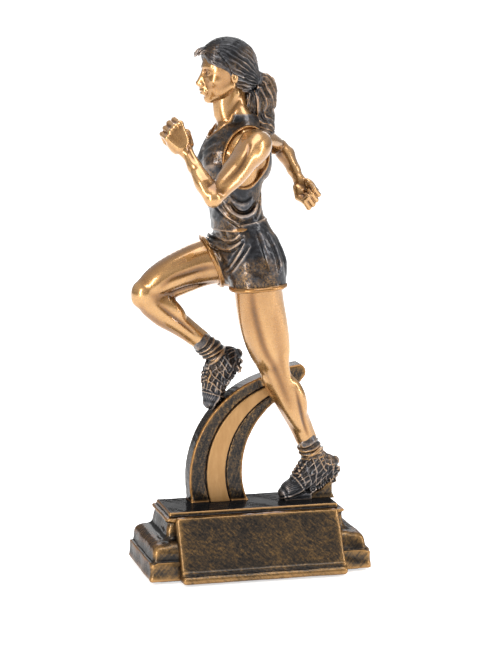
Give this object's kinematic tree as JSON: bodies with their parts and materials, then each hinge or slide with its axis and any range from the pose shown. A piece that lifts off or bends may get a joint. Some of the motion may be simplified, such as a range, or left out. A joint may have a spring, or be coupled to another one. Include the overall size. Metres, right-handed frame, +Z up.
{
  "type": "runner figure trophy",
  "caption": "Cast resin trophy: a female runner in singlet and shorts striding over a curved track lane on a stepped base with a raked plate panel.",
  "frame": {"origin": "middle of the plinth on the surface that the trophy stands on", "axes": "+Z up, X along the base with the runner facing -X, +Y from the name panel towards the back"},
  "size_m": [0.09, 0.0687, 0.21],
  "materials": {
    "gold_skin": "antique gold paint on cast resin, brown wash in the hollows, gloss lacquer",
    "pewter_kit": "black paint rubbed with pewter and gold, gloss lacquer",
    "dark_hair": "black paint with gold on the raised strands",
    "bronze_base": "dark bronze paint, dry-brushed gold, gloss lacquer",
    "gold_stripe": "flat satin gold paint",
    "steel": "plain drawn steel pin",
    "felt": "pressed green felt"
  },
  "bodies": {
    "root": {"felt_pad": "felt", "base_casting": "bronze_base", "front_panel": "bronze_base", "track_arch": "bronze_base", "lane_stripe": "gold_stripe", "heel_wedge": "bronze_base", "left_shoe": "pewter_kit", "left_sock": "pewter_kit", "left_leg": "gold_skin", "right_shoe": "pewter_kit", "right_sock": "pewter_kit", "right_leg": "gold_skin", "shorts": "pewter_kit", "singlet": "pewter_kit", "neck_chest": "gold_skin", "head": "gold_skin", "hair": "dark_hair", "ponytail": "dark_hair", "hair_band": "dark_hair", "left_arm": "gold_skin", "right_arm": "gold_skin", "shoe_pins": "steel", "leg_rod": "steel", "arch_dowels": "steel", "toe_pin": "steel", "ankle_pin": "steel", "hip_pins": "steel", "waist_pin": "steel", "shoulder_pins": "steel", "neck_pin": "steel", "ponytail_pin": "steel"}
  },
  "joints": []
}
